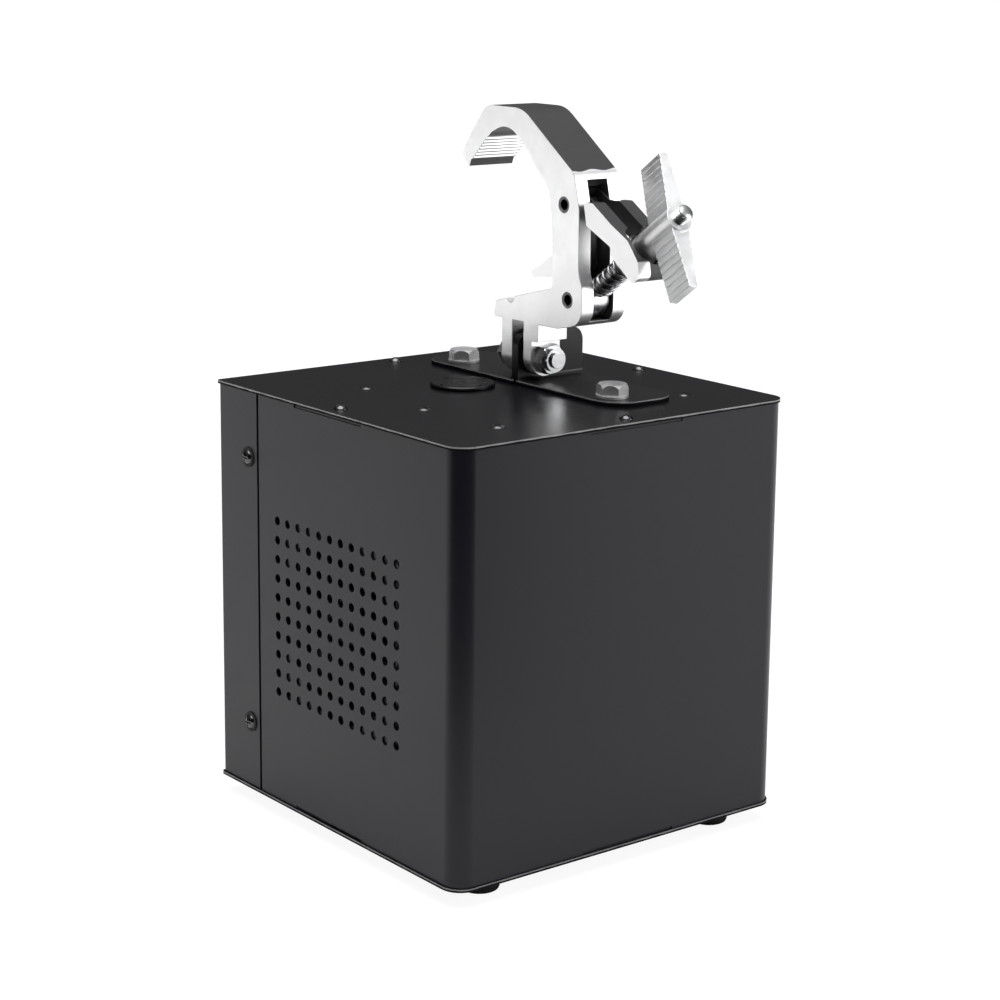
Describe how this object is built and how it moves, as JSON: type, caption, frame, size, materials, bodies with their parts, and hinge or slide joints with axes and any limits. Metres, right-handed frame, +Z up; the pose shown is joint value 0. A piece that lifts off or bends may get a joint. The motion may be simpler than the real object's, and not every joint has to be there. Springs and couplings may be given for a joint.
{
  "type": "fog machine",
  "caption": "Cube-shaped hanging fog machine in black sheet metal with a side vent, fluid cap, rear connectors and a quick-trigger tube clamp on a folded bracket.",
  "frame": {"origin": "centre of the square footprint, on the plane the feet stand on", "axes": "+Z up through the clamp; -X the vented side; -Y the plain side that the wing nut overhangs; +X the fog outlet; +Y the connector panel"},
  "size_m": [0.2642, 0.2731, 0.4381],
  "materials": {
    "black_coat": "satin black powder coat, slightly textured",
    "black_plastic": "fine textured moulding",
    "black_rubber": "matte moulded rubber",
    "black_screw": "black oxide, worn bright on the edges",
    "brass": "turned",
    "bright_bolt": "bright zinc plated",
    "cast_aluminium": "extruded and tumbled, with black coating on the back band",
    "circuit_board": "solder mask",
    "copper": "drawn tube",
    "display_glass": "smoked window",
    "grey_bolt": "dull zinc plated",
    "heater_aluminium": "as cast",
    "hose": "silicone",
    "insulation": "woven glass fibre",
    "lever_metal": "black coated with bare cut sides",
    "pin_steel": "dark rolled steel",
    "pump_steel": "ground",
    "socket_metal": "nickel plated",
    "spring_steel": "oiled spring steel",
    "tank_plastic": "milky polyethylene",
    "wire": "sleeved",
    "zinc_steel": "zinc plated"
  },
  "bodies": {
    "casing": {"wrap_shell": "black_coat", "rear_panel": "black_coat", "top_plate": "black_coat", "bottom_plate": "black_coat", "rubber_feet": "black_rubber", "foot_screws": "zinc_steel", "top_edge_screws": "black_screw", "top_fixing_screws": "black_screw", "side_screws": "zinc_steel", "side_screw_washers": "black_screw", "bottom_screws": "zinc_steel", "bracket_angle_front": "black_coat", "bracket_angle_rear": "black_coat", "bracket_bolts": "grey_bolt", "bracket_washers": "grey_bolt", "bracket_nuts": "grey_bolt", "tilt_bolt": "bright_bolt", "tilt_nut": "bright_bolt", "tilt_washers": "bright_bolt", "filler_neck": "black_plastic", "fluid_tank": "tank_plastic", "pickup_tube": "tank_plastic", "pump_body": "brass", "pump_coil": "black_plastic", "pump_bracket": "zinc_steel", "suction_hose": "hose", "pressure_pipe": "copper", "heater_block": "heater_aluminium", "heater_element": "heater_aluminium", "heater_insulation": "insulation", "heater_shield": "zinc_steel", "thermostat": "black_plastic", "fog_nozzle": "brass", "outlet_collar": "black_coat", "power_supply": "circuit_board", "control_board": "circuit_board", "display_module": "black_plastic", "display_window": "display_glass", "power_inlet": "black_plastic", "dmx_in_socket": "socket_metal", "dmx_out_socket": "socket_metal", "fan_frame": "black_plastic", "wiring_loom": "wire"},
    "clamp": {"clamp_body": "cast_aluminium", "jaw_pin": "pin_steel", "eye_bolt_pin": "pin_steel"},
    "jaw": {"jaw_lever": "lever_metal"},
    "eye_bolt": {"eye_bolt": "bright_bolt", "jaw_spring": "spring_steel"},
    "saddle": {"saddle_washer": "black_screw"},
    "wing_nut": {"wing_nut": "cast_aluminium"},
    "filler_cap": {"filler_cap": "black_plastic"},
    "pump_plunger": {"pump_plunger": "pump_steel"},
    "fuse_drawer": {"fuse_drawer": "black_plastic"},
    "fan_rotor": {"fan_rotor": "black_plastic"},
    "button_menu": {"button_menu": "black_plastic"},
    "button_down": {"button_down": "black_plastic"},
    "button_up": {"button_up": "black_plastic"},
    "button_enter": {"button_enter": "black_plastic"}
  },
  "joints": [
    {"name": "clamp_tilt", "type": "hinge", "parent": "casing", "child": "clamp", "pos_m": [0.0295, 0.0045, 0.2855], "axis": [0, 1, 0], "range_deg": [-12, 12]},
    {"name": "jaw_swing", "type": "hinge", "parent": "clamp", "child": "jaw", "pos_m": [0.035, -0.0379, 0.3833], "axis": [1, 0, 0], "range_deg": [-2, 18.2]},
    {"name": "eye_bolt_swing", "type": "hinge", "parent": "clamp", "child": "eye_bolt", "pos_m": [0.035, -0.0425, 0.3265], "axis": [1, 0, 0], "range_deg": [-0.8, 6.3]},
    {"name": "nut_travel", "type": "slide", "parent": "eye_bolt", "child": "saddle", "axis": [0, -0.8141, 0.5807], "range_m": [-0.016, 0.0016], "deforming": ["jaw_spring"]},
    {"name": "wing_nut_turn", "type": "hinge", "parent": "saddle", "child": "wing_nut", "pos_m": [0.035, -0.0425, 0.3265], "axis": [0, -0.8141, 0.5807], "range_deg": [-3780, 360]},
    {"name": "filler_cap_lift", "type": "slide", "parent": "casing", "child": "filler_cap", "axis": [0, 0, 1], "range_m": [0, 0.03]},
    {"name": "pump_stroke", "type": "slide", "parent": "casing", "child": "pump_plunger", "axis": [1, 0, 0], "range_m": [0, 0.003], "stiffness_N_per_m": 800},
    {"name": "fuse_drawer_slide", "type": "slide", "parent": "casing", "child": "fuse_drawer", "axis": [0, 1, 0], "range_m": [0, 0.015]},
    {"name": "fan_spin", "type": "hinge", "parent": "casing", "child": "fan_rotor", "pos_m": [-0.1225, -0.004, 0.137], "axis": [1, 0, 0], "continuous": true},
    {"name": "button_menu_press", "type": "slide", "parent": "casing", "child": "button_menu", "axis": [0, -1, 0], "range_m": [0, 0.0008], "stiffness_N_per_m": 500},
    {"name": "button_down_press", "type": "slide", "parent": "casing", "child": "button_down", "axis": [0, -1, 0], "range_m": [0, 0.0008], "stiffness_N_per_m": 500},
    {"name": "button_up_press", "type": "slide", "parent": "casing", "child": "button_up", "axis": [0, -1, 0], "range_m": [0, 0.0008], "stiffness_N_per_m": 500},
    {"name": "button_enter_press", "type": "slide", "parent": "casing", "child": "button_enter", "axis": [0, -1, 0], "range_m": [0, 0.0008], "stiffness_N_per_m": 500}
  ],
  "couplings": [
    {"joint": "nut_travel", "follows": "wing_nut_turn", "m_per_rad": 0.00023873},
    {"joint": "jaw_swing", "follows": "wing_nut_turn", "ratio": -0.0047321},
    {"joint": "eye_bolt_swing", "follows": "wing_nut_turn", "ratio": -0.0015994}
  ]
}
